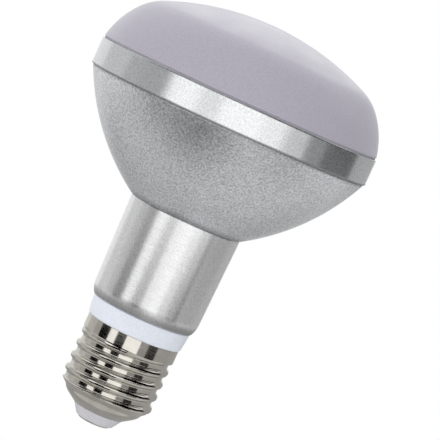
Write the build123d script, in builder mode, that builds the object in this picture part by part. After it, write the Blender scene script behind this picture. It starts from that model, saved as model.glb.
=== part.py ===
# LED spotlight bulb: an 80 mm reflector lamp with a 27 mm screw cap, in millimetres.
# The origin is on the face of the centre contact, and +Z runs along the axis to the dome.
# Every piece is modelled where it sits in the finished lamp.
from build123d import *
from math import asin, cos, radians, sin, sqrt, tan
import os

os.makedirs("parts", exist_ok=True)

# Heights of the joints that show outside, from the contact's face
nose_bottom = 0.6
lip_height = 3.45
rim_bottom = 23.4
collar_bottom = 27.2
neck_bottom = 32.6
bell_bottom = 61.05
band_bottom = 88.5
dome_bottom = 96.3
dome_top = 117.1

# Outer radii that show outside
contact_radius = 4.75
nose_radius = 5.25
lip_radius = 7.25
thread_crest = 13.15
thread_root = 12.25
rim_radius = 13.2
collar_low = 13.5
collar_high = 14.05
neck_low = 14.35
neck_round = 15.28
neck_high = 15.9
bell_low = 16.1
bell_high = 39.6
band_radius = 40.0

# The 27 mm screw cap: seven turns to the inch, rolled from equal crest and root arcs
thread_pitch = 25.4 / 7
thread_arc = 1.025
thread_start = 5.75
thread_length = 19.6
cap_sheet = 0.35
floor_slope = 34.5
floor_edge = 9.6
shoulder_point = (11.25, 7.0)

# Fits and walls
fit_gap = 0.05
edge_break = 0.3
bell_wall = 1.6
dome_wall = 1.6
liner_wall = 1.2
floor_thickness = 1.8

# Screws and wires
screw_shank = 1.25
screw_head = 2.4
screw_head_height = 1.6
screw_hole = 1.7
wire_radius = 0.6
pin_radius = 0.25
lead_bend = 0.8
pin_reach = 1.3


# Screw shell: one sheet of nickel-plated brass, rolled to the thread, with a plain top rim
crest_centre = thread_crest - thread_arc
root_drop = sqrt((2 * thread_arc) ** 2 - (thread_pitch / 2) ** 2)
root_centre = crest_centre + root_drop
foot_sink = 0.04
foot_depth = 0.25
rim_step = 1.0
floor_tilt = radians(floor_slope)
floor_rim = lip_height + (floor_edge - lip_radius) * tan(floor_tilt)
flare_radius = rim_radius + 0.4
flare_height = 9.0


def thread_ridge(inset):
    """The rolled ridge from height 0, its foot buried a little in the core it is wound on."""
    crest_arc = thread_arc - inset
    root_arc = thread_arc + inset
    share = crest_arc / (2 * thread_arc)
    meet = (crest_centre + root_drop * share, thread_pitch / 2 * share)
    foot_radius = thread_root - inset - foot_sink
    buried_radius = foot_radius - foot_depth

    def flank(radius):
        """Half width of the ridge at a radius on its concave flank."""
        return thread_pitch / 2 - sqrt(root_arc**2 - (root_centre - radius) ** 2)

    middle_radius = (meet[0] + foot_radius) / 2
    upper_flank = [meet, (middle_radius, flank(middle_radius)), (foot_radius, flank(foot_radius))]
    lower_flank = [(radius, -height) for radius, height in reversed(upper_flank)]
    with BuildPart() as ridge:
        with BuildLine() as path:
            Helix(thread_pitch, thread_length, crest_centre)
        with BuildSketch(Plane.XZ):
            with BuildLine():
                ThreePointArc(lower_flank[-1], (crest_centre + crest_arc, 0), upper_flank[0])
                ThreePointArc(*upper_flank)
                Polyline(
                    upper_flank[-1],
                    (buried_radius, upper_flank[-1][1]),
                    (buried_radius, lower_flank[0][1]),
                    lower_flank[0],
                )
                ThreePointArc(*lower_flank)
            make_face()
        sweep(path=path.line, is_frenet=True)
    return ridge.part


def cap_form(inset):
    """The cap as a solid form, drawn in by inset: at 0 it is the outside of the sheet."""
    core_radius = thread_root - inset
    rim_inside = rim_radius - inset
    rim_start = rim_bottom + inset / 2
    with BuildPart() as form:
        # the plain core, wound with the ridge, whose ends are hidden in the rim and the shoulder
        with BuildSketch(Plane.XY.offset(lip_height)):
            Circle(core_radius)
        extrude(amount=collar_bottom - lip_height)
        with Locations((0, 0, thread_start)):
            add(thread_ridge(inset))
        # the plain rim above the last turn
        with BuildSketch(Plane.XZ):
            with BuildLine():
                Polyline(
                    (0, rim_start - rim_step),
                    (core_radius, rim_start - rim_step),
                    (rim_inside, rim_start),
                    (rim_inside, collar_bottom),
                    (0, collar_bottom),
                    close=True,
                )
            make_face()
        revolve()
        # the rounded shoulder at the nose trims the first turn
        with BuildSketch(Plane.XZ):
            with BuildLine():
                Line((lip_radius, lip_height), (floor_edge, floor_rim))
                TangentArc((floor_edge, floor_rim), shoulder_point, tangent=(cos(floor_tilt), sin(floor_tilt)))
                Polyline(
                    shoulder_point,
                    (flare_radius, flare_height),
                    (flare_radius, collar_bottom + 1),
                    (0, collar_bottom + 1),
                    (0, lip_height),
                    (lip_radius, lip_height),
                )
            make_face()
            if inset:
                offset(amount=-inset)
        revolve(mode=Mode.INTERSECT)
    return form.part


with BuildPart() as screw_shell:
    add(cap_form(0))
    add(cap_form(cap_sheet), mode=Mode.SUBTRACT)
    # the opening for the nose
    Cylinder(lip_radius - fit_gap, 2 * collar_bottom, mode=Mode.SUBTRACT)
screw_shell.part.label = "screw_shell"
export_step(screw_shell.part, "parts/screw_shell.step")


# Centre contact: a button with a hollow stem that takes the live lead
contact_flat = 3.9
contact_seat = 1.3
stem_radius = 1.5
stem_top = 8.0
stem_bore = 3.0

with BuildPart() as centre_contact:
    with BuildSketch(Plane.XZ):
        with BuildLine():
            Line((0, 0), (contact_flat, 0))
            TangentArc((contact_flat, 0), (contact_radius, nose_bottom), tangent=(1, 0))
            Polyline(
                (contact_radius, nose_bottom),
                (contact_radius, contact_seat),
                (stem_radius, contact_seat),
                (stem_radius, stem_top),
                (0, stem_top),
                (0, 0),
            )
        make_face()
    revolve()
    with Locations(Plane.XY.offset(stem_top)):
        Hole(wire_radius, depth=stem_bore)
centre_contact.part.label = "centre_contact"
export_step(centre_contact.part, "parts/centre_contact.step")


# Tip insulator: the moulded nose, snapped in from inside so that its flange sits on the cap's floor
flange_radius = 9.0
insulator_top = 6.4
flange_gap = 0.03


def cap_floor(radius):
    """Height of the inner face of the cap's sloping floor."""
    return lip_height + (radius - lip_radius) * tan(floor_tilt) + cap_sheet / cos(floor_tilt)


with BuildPart() as tip_insulator:
    with BuildSketch(Plane.XZ):
        with BuildLine():
            Polyline(
                (stem_radius + fit_gap, contact_seat),
                (contact_radius + fit_gap, contact_seat),
                (contact_radius + fit_gap, nose_bottom),
                (nose_radius, nose_bottom),
                (lip_radius - 2 * fit_gap, lip_height),
                (lip_radius - 2 * fit_gap, cap_floor(lip_radius) + flange_gap),
                (flange_radius, cap_floor(flange_radius) + flange_gap),
                (flange_radius, insulator_top),
                (stem_radius + fit_gap, insulator_top),
                close=True,
            )
        make_face()
    revolve()
tip_insulator.part.label = "tip_insulator"
export_step(tip_insulator.part, "parts/tip_insulator.step")


# Base body: collar, spigot inside the cap and liner inside the neck, moulded in one
spigot_bottom = 12.6
spigot_radius = thread_root - cap_sheet - fit_gap - 0.02
spigot_bore = 9.6
rim_spigot_radius = rim_radius - cap_sheet - fit_gap
liner_radius = 12.6
liner_bore = liner_radius - liner_wall
liner_top = 57.6
board_half = 0.8
rib_inner = 10.35
rib_width = 1.1
rib_gap = board_half + 0.1
rib_bottom = 30.0
board_stop = 30.6
rib_top = 56.0
notch_width = 1.6
notch_top = 18.6

with BuildPart() as base_body:
    with BuildSketch(Plane.XZ):
        with BuildLine():
            Polyline(
                (spigot_bore, spigot_bottom),
                (spigot_radius, spigot_bottom),
                (spigot_radius, rim_bottom - 0.5),
                (rim_spigot_radius, rim_bottom + 0.6),
                (rim_spigot_radius, collar_bottom),
                (collar_low - edge_break, collar_bottom),
                (collar_low, collar_bottom + edge_break),
                (collar_high, neck_bottom - edge_break),
                (collar_high - edge_break, neck_bottom),
                (liner_radius, neck_bottom),
                (liner_radius, liner_top),
                (liner_bore, liner_top),
                (liner_bore, rib_bottom),
                (spigot_bore, rib_bottom - liner_bore + spigot_bore),
                close=True,
            )
        make_face()
    revolve()
    # guide ribs that hold the edges of the driver board, and the stops that it stands on
    with BuildSketch(Plane.XY.offset(rib_bottom)):
        for side in (-1, 1):
            for face in (-1, 1):
                with Locations((side * (rib_inner + liner_radius - 0.6) / 2, face * (rib_gap + rib_width / 2))):
                    Rectangle(liner_radius - 0.6 - rib_inner, rib_width)
    extrude(amount=rib_top - rib_bottom)
    with BuildSketch(Plane.XY.offset(rib_bottom)):
        for side in (-1, 1):
            with Locations((side * (rib_inner + liner_radius - 0.6) / 2, 0)):
                Rectangle(liner_radius - 0.6 - rib_inner, 2 * rib_gap)
    extrude(amount=board_stop - rib_bottom)
    # the notch that leads the neutral lead out to the screw shell
    with Locations((-(spigot_radius + spigot_bore) / 2, 0, spigot_bottom)):
        Box(
            spigot_radius - spigot_bore + 1,
            notch_width,
            2 * (notch_top - spigot_bottom),
            mode=Mode.SUBTRACT,
        )
base_body.part.label = "base_body"
export_step(base_body.part, "parts/base_body.step")


# Neck sleeve: turned aluminium tube with an inward flange on top
sleeve_bore = 12.9
flange_bottom = 58.1
neck_opening = 8.0
neck_screw_circle = 10.9
round_height = 3.4

with BuildPart() as neck_sleeve:
    with BuildSketch(Plane.XZ):
        with BuildLine():
            side_slope = (neck_high - neck_round, bell_bottom - neck_bottom - round_height)
            TangentArc(
                (neck_round, neck_bottom + round_height),
                (neck_low, neck_bottom),
                tangent=(-side_slope[0], -side_slope[1]),
            )
            Polyline(
                (neck_low, neck_bottom),
                (sleeve_bore, neck_bottom),
                (sleeve_bore, flange_bottom),
                (neck_opening, flange_bottom),
                (neck_opening, bell_bottom),
                (neck_high, bell_bottom),
                (neck_round, neck_bottom + round_height),
            )
        make_face()
    revolve()
    with Locations(Plane.XY.offset(bell_bottom)):
        with PolarLocations(neck_screw_circle, 3):
            Hole(screw_shank + fit_gap)
neck_sleeve.part.label = "neck_sleeve"
export_step(neck_sleeve.part, "parts/neck_sleeve.step")


# Bell housing: one cast shell whose outside is a single arc, with a ledge and a rim spigot
bell_arc = 62.5
bell_opening = 8.4
floor_top = bell_bottom + floor_thickness
ledge_bore = 33.8
ledge_bottom = 82.2
ledge_top = 84.2
seat_bore = 36.0
seat_top = 86.8
spigot_inner = 37.3
rim_spigot_outer = 38.5
rim_spigot_top = 94.0
groove_depth = 0.4
groove_bottom = 90.2
groove_top = 91.2

bell_chord = Vector(bell_high - bell_low, band_bottom - bell_bottom)
chord_middle = Vector((bell_high + bell_low) / 2, (band_bottom + bell_bottom) / 2)
inward = Vector(-bell_chord.Y, bell_chord.X).normalized()
bell_centre = chord_middle + inward * sqrt(bell_arc**2 - (bell_chord.length / 2) ** 2)


def bell_radius(height, wall=0):
    """Radius of the bell at a height, on its outside or that far inside the wall."""
    return bell_centre.X + sqrt((bell_arc - wall) ** 2 - (bell_centre.Y - height) ** 2)


def bell_curve(low, high, wall=0):
    """The three points of the bell's arc between two heights."""
    middle = (low + high) / 2
    return [(bell_radius(height, wall), height) for height in (low, middle, high)]


with BuildPart() as bell_housing:
    outer_curve = bell_curve(bell_bottom, band_bottom - edge_break)
    inner_curve = bell_curve(floor_top, ledge_bottom, bell_wall)
    with BuildSketch(Plane.XZ):
        with BuildLine():
            ThreePointArc(*outer_curve)
            Polyline(
                outer_curve[-1],
                (bell_high - edge_break, band_bottom),
                (rim_spigot_outer, band_bottom),
                (rim_spigot_outer, rim_spigot_top),
                (spigot_inner, rim_spigot_top),
                (spigot_inner, groove_top),
                (spigot_inner + groove_depth, groove_top - groove_depth),
                (spigot_inner + groove_depth, groove_bottom),
                (spigot_inner, groove_bottom),
                (spigot_inner, seat_top + spigot_inner - seat_bore),
                (seat_bore, seat_top),
                (seat_bore, ledge_top),
                (ledge_bore, ledge_top),
                (ledge_bore, ledge_bottom),
                inner_curve[-1],
            )
            ThreePointArc(*inner_curve)
            Polyline(
                inner_curve[0],
                (bell_opening, floor_top),
                (bell_opening, bell_bottom),
                outer_curve[0],
            )
        make_face()
    revolve()
    with Locations(Plane.XY.offset(floor_top)):
        with PolarLocations(neck_screw_circle, 3):
            Hole(screw_hole, depth=floor_thickness)
bell_housing.part.label = "bell_housing"
export_step(bell_housing.part, "parts/bell_housing.step")


# Heat spreader, thermal pad and board of LEDs, stacked on the ledge
spreader_radius = seat_bore - 2 * fit_gap
spreader_top = 86.2
pad_top = 86.6
board_top = 88.2
pad_radius = 33.5
led_board_radius = 34.0
lead_opening = 4.3
board_screw_circle = 17.5

with BuildPart() as heat_spreader:
    with BuildSketch(Plane.XY.offset(ledge_top)):
        Circle(spreader_radius)
        Circle(lead_opening, mode=Mode.SUBTRACT)
        with PolarLocations(board_screw_circle, 3):
            Circle(screw_shank + fit_gap, mode=Mode.SUBTRACT)
    extrude(amount=spreader_top - ledge_top)
    chamfer(heat_spreader.edges().filter_by(GeomType.CIRCLE).sort_by(SortBy.RADIUS)[-2:], edge_break)
heat_spreader.part.label = "heat_spreader"
export_step(heat_spreader.part, "parts/heat_spreader.step")

with BuildPart() as thermal_pad:
    with BuildSketch(Plane.XY.offset(spreader_top)):
        Circle(pad_radius)
        Circle(lead_opening, mode=Mode.SUBTRACT)
        with PolarLocations(board_screw_circle, 3):
            Circle(screw_hole, mode=Mode.SUBTRACT)
    extrude(amount=pad_top - spreader_top)
thermal_pad.part.label = "thermal_pad"
export_step(thermal_pad.part, "parts/thermal_pad.step")

with BuildPart() as led_board:
    with BuildSketch(Plane.XY.offset(pad_top)):
        Circle(led_board_radius)
        Circle(lead_opening, mode=Mode.SUBTRACT)
        with PolarLocations(board_screw_circle, 3):
            Circle(screw_hole, mode=Mode.SUBTRACT)
    extrude(amount=board_top - pad_top)
led_board.part.label = "led_board"
export_step(led_board.part, "parts/led_board.step")


# LEDs in two rings
led_length = 3.5
led_width = 2.8
led_height = 0.8
led_rings = ((12.0, 6, 30.0), (24.5, 12, 15.0))

with BuildPart() as led_chips:
    for ring_radius, count, first_angle in led_rings:
        with BuildSketch(Plane.XY.offset(board_top)):
            with PolarLocations(ring_radius, count, start_angle=first_angle):
                Rectangle(led_length, led_width)
        extrude(amount=led_height)
led_chips.part.label = "led_chips"
export_step(led_chips.part, "parts/led_chips.step")


# Screws: pan heads with a cross recess
recess_length = 2.6
recess_width = 0.6
recess_depth = 0.9


def pan_screws(circle, seat, tip):
    """Three pan-head screws on a circle, heads on the height seat and shanks down to tip."""
    with BuildPart() as screws:
        with BuildSketch(Plane.XY.offset(seat)):
            with PolarLocations(circle, 3):
                Circle(screw_head)
        extrude(amount=screw_head_height)
        fillet(screws.faces().sort_by(Axis.Z)[-3:].edges(), 0.6)
        with BuildSketch(Plane.XY.offset(tip)):
            with PolarLocations(circle, 3):
                Circle(screw_shank)
        extrude(amount=seat - tip)
        with BuildSketch(Plane.XY.offset(seat + screw_head_height)):
            with PolarLocations(circle, 3):
                Rectangle(recess_length, recess_width)
                Rectangle(recess_width, recess_length)
        extrude(amount=-recess_depth, mode=Mode.SUBTRACT)
    return screws


neck_screws = pan_screws(neck_screw_circle, floor_top, flange_bottom + 0.2)
neck_screws.part.label = "neck_screws"
export_step(neck_screws.part, "parts/neck_screws.step")

board_screws = pan_screws(board_screw_circle, board_top, ledge_top + 0.2)
board_screws.part.label = "board_screws"
export_step(board_screws.part, "parts/board_screws.step")


# Rim band: a bright turned ring that slips over the bell's spigot
seal_bottom = 95.9

with BuildPart() as rim_band:
    with BuildSketch(Plane.XZ):
        with BuildLine():
            Polyline(
                (rim_spigot_outer + fit_gap, band_bottom),
                (band_radius - edge_break, band_bottom),
                (band_radius, band_bottom + edge_break),
                (band_radius, seal_bottom - edge_break),
                (band_radius - edge_break, seal_bottom),
                (rim_spigot_outer + fit_gap, seal_bottom),
                close=True,
            )
        make_face()
    revolve()
rim_band.part.label = "rim_band"
export_step(rim_band.part, "parts/rim_band.step")


# Diffuser seal: a flat silicone ring between the band and the dome, set back from the surface
seal_radius = 39.5
seal_inner = 38.7

with BuildPart() as diffuser_seal:
    with BuildSketch(Plane.XY.offset(seal_bottom)):
        Circle(seal_radius)
        Circle(seal_inner, mode=Mode.SUBTRACT)
    extrude(amount=dome_bottom - seal_bottom)
diffuser_seal.part.label = "diffuser_seal"
export_step(diffuser_seal.part, "parts/diffuser_seal.step")


# Diffuser: a low crown, a rounded shoulder, a steep side and a skirt whose bead snaps into the bell's groove
crown_radius = 74.2
shoulder_radius = 14.4
side_radius = 24.0
crown_end = radians(66.8)
shoulder_end = radians(39.9)
skirt_outer = 37.2
skirt_inner = 35.7
skirt_bottom = 89.6
bead_low = 90.3
bead_high = 91.0
bead_depth = 0.3
step_top = 98.1


def slant(angle):
    """The direction at an angle above the level, in the section plane."""
    return Vector(cos(angle), sin(angle))


crown_centre = Vector(0, dome_top - crown_radius)
shoulder_centre = crown_centre + slant(crown_end) * (crown_radius - shoulder_radius)
side_centre = shoulder_centre + slant(shoulder_end) * (shoulder_radius - side_radius)


def dome_section(foot_height, wall):
    """The dome's three tangent arcs from a foot height up to the axis, that far inside the wall."""
    foot_angle = asin((foot_height - side_centre.Y) / (side_radius - wall))
    arcs = [
        (side_centre, side_radius - wall, foot_angle, shoulder_end),
        (shoulder_centre, shoulder_radius - wall, shoulder_end, crown_end),
        (crown_centre, crown_radius - wall, crown_end, radians(90)),
    ]
    for centre, radius, low, high in arcs:
        ends = [centre + slant(angle) * radius for angle in (low, (low + high) / 2, high)]
        ThreePointArc(*ends)
    return side_centre + slant(foot_angle) * (side_radius - wall)


with BuildPart() as diffuser:
    with BuildSketch(Plane.XZ):
        with BuildLine():
            foot = dome_section(dome_bottom + edge_break, 0)
            Polyline(
                foot,
                (foot.X - edge_break, dome_bottom),
                (skirt_outer, dome_bottom),
                (skirt_outer, bead_high),
                (skirt_outer + bead_depth, bead_high - bead_depth),
                (skirt_outer + bead_depth, bead_low),
                (skirt_outer, bead_low),
                (skirt_outer, skirt_bottom),
                (0, skirt_bottom),
                (0, dome_top),
            )
        make_face()
    revolve()
    with BuildSketch(Plane.XZ):
        with BuildLine():
            foot = dome_section(step_top, dome_wall)
            Polyline(
                foot,
                (skirt_inner, step_top),
                (skirt_inner, skirt_bottom),
                (0, skirt_bottom),
                (0, dome_top - dome_wall),
            )
        make_face()
    revolve(mode=Mode.SUBTRACT)
diffuser.part.label = "diffuser"
export_step(diffuser.part, "parts/diffuser.step")


# Connector on the board of LEDs, with two wire entries
connector_start = 4.9
connector_length = 5.0
connector_width = 5.6
connector_height = 2.6
entry_spacing = 2.4
entry_height = board_top + 1.3
entry_depth = 2.4

with BuildPart() as lead_connector:
    with Locations((connector_start + connector_length / 2, 0, board_top)):
        Box(
            connector_length,
            connector_width,
            connector_height,
            align=(Align.CENTER, Align.CENTER, Align.MIN),
        )
    chamfer(lead_connector.edges().group_by(Axis.Z)[-1], edge_break)
    with BuildSketch(Plane.YZ.offset(connector_start)):
        with Locations((-entry_spacing / 2, entry_height), (entry_spacing / 2, entry_height)):
            Circle(wire_radius)
    extrude(amount=entry_depth, mode=Mode.SUBTRACT)
lead_connector.part.label = "lead_connector"
export_step(lead_connector.part, "parts/lead_connector.step")


# Places on the driver board: x across the neck and z along it, both on the board's middle plane.
# Pins and leads fill their plated holes, as they do once they are soldered.
board_bottom = 15.0
board_end = 56.0
narrow_half = 8.6
wide_half = 11.0
film_place = (0, 21.0)
film_pins = 3.75
fuse_height = 28.5
fuse_pins = 6.3
bulk_place = (-4.2, 5.1)
output_place = (4.9, 4.4)
can_base = 33.0
can_drop = 1.6
bulk_gap = 3.5
output_gap = 2.5
choke_height = 37.5
choke_pins = 2.5
winding_height = 50.3
winding_depth = 5.45
bobbin_pins = (3.2, 3.0)
live_hole = (2.5, 19.0)
neutral_hole = (-5.4, 19.0)
output_hole = (8.5, 51.5)

pin_places = [
    (film_place[0] - film_pins, film_place[1]),
    (film_place[0] + film_pins, film_place[1]),
    (-fuse_pins, fuse_height),
    (fuse_pins, fuse_height),
    (bulk_place[0] - bulk_gap / 2, can_base - can_drop),
    (bulk_place[0] + bulk_gap / 2, can_base - can_drop),
    (output_place[0] - output_gap / 2, can_base - can_drop),
    (output_place[0] + output_gap / 2, can_base - can_drop),
    (-choke_pins, choke_height),
    (choke_pins, choke_height),
]
for across in (-bobbin_pins[0], bobbin_pins[0]):
    for along in (-bobbin_pins[1], bobbin_pins[1]):
        pin_places.append((across, winding_height + along))

with BuildPart() as driver_board:
    with BuildSketch(Plane.XZ):
        with BuildLine():
            Polyline(
                (-narrow_half, board_bottom),
                (narrow_half, board_bottom),
                (narrow_half, board_stop),
                (wide_half, board_stop),
                (wide_half, board_end),
                (-wide_half, board_end),
                (-wide_half, board_stop),
                (-narrow_half, board_stop),
                close=True,
            )
        make_face()
        with Locations(*pin_places):
            Circle(pin_radius, mode=Mode.SUBTRACT)
        with Locations(live_hole, neutral_hole, output_hole, (-output_hole[0], output_hole[1])):
            Circle(wire_radius, mode=Mode.SUBTRACT)
    extrude(amount=board_half, both=True)
driver_board.part.label = "driver_board"
export_step(driver_board.part, "parts/driver_board.step")


def round_wire(points, radii, radius):
    """A round wire along straight runs joined by arcs."""
    with BuildPart() as wire:
        with BuildLine() as route:
            FilletPolyline(*points, radius=radii)
        with BuildSketch(Plane(origin=route.line @ 0, z_dir=route.line % 0)):
            Circle(radius)
        sweep(path=route.line)
    return wire


# Electrolytic capacitors: cans that lie along the board, their leads bent down through it
crimp_height = 1.6
crimp_depth = 0.35


def capacitor_can(place, radius, height, lead_gap):
    """A can with its crimped groove near the lead end, and its two bent leads."""
    centre = Vector(place[0], place[1], 0)
    with BuildPart() as can:
        with BuildSketch(Plane(origin=centre, x_dir=(1, 0, 0), z_dir=(0, -1, 0))):
            with BuildLine():
                Polyline(
                    (0, can_base),
                    (radius, can_base),
                    (radius, can_base + crimp_height - crimp_depth),
                    (radius - crimp_depth, can_base + crimp_height),
                    (radius, can_base + crimp_height + crimp_depth),
                    (radius, can_base + height - edge_break),
                    (radius - edge_break, can_base + height),
                    (0, can_base + height),
                    close=True,
                )
            make_face()
        revolve(axis=Axis(centre, (0, 0, 1)))
        for side in (-1, 1):
            x = place[0] + side * lead_gap / 2
            lead_points = [
                (x, place[1], can_base + edge_break),
                (x, place[1], can_base - can_drop),
                (x, -pin_reach, can_base - can_drop),
            ]
            add(round_wire(lead_points, lead_bend, pin_radius).part)
    return can


bulk_capacitor = capacitor_can(bulk_place, 4.0, 11.5, bulk_gap)
bulk_capacitor.part.label = "bulk_capacitor"
export_step(bulk_capacitor.part, "parts/bulk_capacitor.step")

output_capacitor = capacitor_can(output_place, 3.15, 9.0, output_gap)
output_capacitor.part.label = "output_capacitor"
export_step(output_capacitor.part, "parts/output_capacitor.step")


# Film capacitor: a moulded block with straight pins
film_size = (9.0, 8.0)
film_near = 1.1
film_far = 7.0

with BuildPart() as filter_capacitor:
    with BuildSketch(Plane.XZ.offset(-film_near)):
        with Locations(film_place):
            Rectangle(*film_size)
    extrude(amount=film_near - film_far)
    fillet(filter_capacitor.edges(), 0.5)
    with BuildSketch(Plane.XZ.offset(-film_near - 1)):
        with Locations((film_place[0] - film_pins, film_place[1]), (film_place[0] + film_pins, film_place[1])):
            Circle(pin_radius)
    extrude(amount=film_near + 1 + pin_reach)
filter_capacitor.part.label = "filter_capacitor"
export_step(filter_capacitor.part, "parts/filter_capacitor.step")


# Fuse resistor: a waisted body across the board, its leads bent down through it
fuse_depth = 3.0
fuse_half = 4.0
fuse_radius = 1.6
fuse_waist = 1.35

with BuildPart() as fuse_resistor:
    with BuildSketch(Plane(origin=(0, fuse_depth, fuse_height), x_dir=(1, 0, 0), z_dir=(0, -1, 0))):
        with BuildLine():
            Polyline(
                (-fuse_half, 0),
                (-fuse_half, fuse_radius - edge_break),
                (-fuse_half + edge_break, fuse_radius),
                (-fuse_half + 1.8, fuse_radius),
                (-fuse_half + 2.3, fuse_waist),
                (fuse_half - 2.3, fuse_waist),
                (fuse_half - 1.8, fuse_radius),
                (fuse_half - edge_break, fuse_radius),
                (fuse_half, fuse_radius - edge_break),
                (fuse_half, 0),
                close=True,
            )
        make_face()
    revolve(axis=Axis((0, fuse_depth, fuse_height), (1, 0, 0)))
    for side in (-1, 1):
        lead_points = [
            (side * (fuse_half - edge_break), fuse_depth, fuse_height),
            (side * fuse_pins, fuse_depth, fuse_height),
            (side * fuse_pins, -pin_reach, fuse_height),
        ]
        add(round_wire(lead_points, lead_bend, pin_radius).part)
fuse_resistor.part.label = "fuse_resistor"
export_step(fuse_resistor.part, "parts/fuse_resistor.step")


# Choke: a ferrite drum on its pins, and the copper wound on it
drum_near = 1.2
drum_far = 8.0
drum_radius = 3.6
drum_hub = 1.6
drum_flange = 1.0
coil_radius = 3.1

with BuildPart() as choke_core:
    with BuildSketch(Plane.XZ.offset(drum_near)):
        with Locations((0, choke_height)):
            Circle(drum_hub)
    extrude(amount=drum_far - drum_near)
    for flange_start in (drum_near, drum_far - drum_flange):
        with BuildSketch(Plane.XZ.offset(flange_start)):
            with Locations((0, choke_height)):
                Circle(drum_radius)
        extrude(amount=drum_flange)
    with BuildSketch(Plane.XZ.offset(drum_near + drum_flange / 2)):
        with Locations((-choke_pins, choke_height), (choke_pins, choke_height)):
            Circle(pin_radius)
    extrude(amount=-drum_near - drum_flange / 2 - pin_reach)
choke_core.part.label = "choke_core"
export_step(choke_core.part, "parts/choke_core.step")

with BuildPart() as choke_winding:
    with BuildSketch(Plane.XZ.offset(drum_near + drum_flange)):
        with Locations((0, choke_height)):
            Circle(coil_radius)
            Circle(drum_hub, mode=Mode.SUBTRACT)
    extrude(amount=drum_far - drum_near - 2 * drum_flange)
choke_winding.part.label = "choke_winding"
export_step(choke_winding.part, "parts/choke_winding.step")


# Transformer: a ferrite core with two windows, the bobbin on its middle leg and the winding
core_width = 12.0
core_height = 10.5
core_depth = 4.5
leg_half = 1.6
window_edge = 4.4
yoke = 1.9
barrel_wall = 0.5
winding_half = 4.2
bobbin_half = 4.3
bobbin_end = 3.3
bobbin_flange = 0.6
window_half = core_height / 2 - yoke

with BuildPart() as transformer_core:
    with BuildSketch(Plane.XZ.offset(-winding_depth)):
        with Locations((0, winding_height)):
            Rectangle(core_width, core_height)
        for side in (-1, 1):
            with Locations((side * (leg_half + window_edge) / 2, winding_height)):
                Rectangle(window_edge - leg_half, 2 * window_half, mode=Mode.SUBTRACT)
    extrude(amount=core_depth / 2, both=True)
transformer_core.part.label = "transformer_core"
export_step(transformer_core.part, "parts/transformer_core.step")

barrel_inner = (2 * (leg_half + fit_gap), core_depth + 2 * fit_gap)
barrel_outer = (barrel_inner[0] + 2 * barrel_wall, barrel_inner[1] + 2 * barrel_wall)

with BuildPart() as transformer_bobbin:
    with BuildSketch(Plane.XY.offset(winding_height - bobbin_end)):
        with Locations((0, winding_depth)):
            Rectangle(*barrel_outer)
    extrude(amount=2 * bobbin_end)
    for flange_start in (winding_height - bobbin_end, winding_height + bobbin_end - bobbin_flange):
        with BuildSketch(Plane.XY.offset(flange_start)):
            with Locations((0, winding_depth)):
                Rectangle(2 * bobbin_half, 2 * bobbin_half)
        extrude(amount=bobbin_flange)
    with BuildSketch(Plane.XY.offset(winding_height - bobbin_end)):
        with Locations((0, winding_depth)):
            Rectangle(*barrel_inner)
    extrude(amount=2 * bobbin_end, mode=Mode.SUBTRACT)
    with BuildSketch(Plane.XZ.offset(-winding_depth + bobbin_half - 0.5)):
        with Locations((0, winding_height)):
            with GridLocations(2 * bobbin_pins[0], 2 * bobbin_pins[1], 2, 2):
                Circle(pin_radius)
    extrude(amount=winding_depth - bobbin_half + 0.5 + pin_reach)
transformer_bobbin.part.label = "transformer_bobbin"
export_step(transformer_bobbin.part, "parts/transformer_bobbin.step")

with BuildPart() as transformer_winding:
    with BuildSketch(Plane.XY.offset(winding_height - bobbin_end + bobbin_flange)):
        with Locations((0, winding_depth)):
            RectangleRounded(2 * winding_half, 2 * winding_half, 1.5)
            Rectangle(*barrel_outer, mode=Mode.SUBTRACT)
    extrude(amount=2 * (bobbin_end - bobbin_flange))
transformer_winding.part.label = "transformer_winding"
export_step(transformer_winding.part, "parts/transformer_winding.step")


# Flat parts soldered on the board's other face
leg_thickness = 0.25
leg_width = 0.5


def flat_chip(height, length, width, thickness, legs_a_side, leg_pitch, leg_reach):
    """A moulded chip with bent legs along both long sides."""
    with BuildPart() as chip:
        with BuildSketch(Plane.XZ.offset(board_half + leg_thickness)):
            with Locations((0, height)):
                Rectangle(width, length)
        extrude(amount=thickness)
        chamfer(chip.edges().group_by(Axis.Y)[0], edge_break)
        leg_rise = thickness / 2
        for side in (-1, 1):
            for index in range(legs_a_side):
                leg_height = height + (index - (legs_a_side - 1) / 2) * leg_pitch
                with BuildSketch(Plane.XY.offset(leg_height)):
                    with BuildLine():
                        Polyline(
                            (side * width / 2 * 0.9, -board_half - leg_rise),
                            (side * (width / 2 + leg_reach / 2), -board_half - leg_rise),
                            (side * (width / 2 + leg_reach / 2), -board_half),
                            (side * (width / 2 + leg_reach), -board_half),
                            (side * (width / 2 + leg_reach), -board_half - leg_thickness),
                            (side * (width / 2 + leg_reach / 2 + leg_thickness), -board_half - leg_thickness),
                            (
                                side * (width / 2 + leg_reach / 2 + leg_thickness),
                                -board_half - leg_rise - leg_thickness,
                            ),
                            (side * width / 2 * 0.9, -board_half - leg_rise - leg_thickness),
                            close=True,
                        )
                    make_face()
                extrude(amount=leg_width / 2, both=True)
    return chip


bridge_rectifier = flat_chip(26.5, 4.7, 3.9, 2.2, 2, 2.5, 1.2)
bridge_rectifier.part.label = "bridge_rectifier"
export_step(bridge_rectifier.part, "parts/bridge_rectifier.step")

controller_chip = flat_chip(44.4, 4.9, 3.9, 1.4, 4, 1.27, 1.0)
controller_chip.part.label = "controller_chip"
export_step(controller_chip.part, "parts/controller_chip.step")

output_diode = flat_chip(winding_height, 2.6, 3.4, 2.0, 1, 0, 0.8)
output_diode.part.label = "output_diode"
export_step(output_diode.part, "parts/output_diode.step")


# Leads: each runs from its contact to its hole in the driver board, or on to the connector
behind_board = -2.6
through_board = 1.0
lead_low = 11.4
shell_side = -11.29

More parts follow.
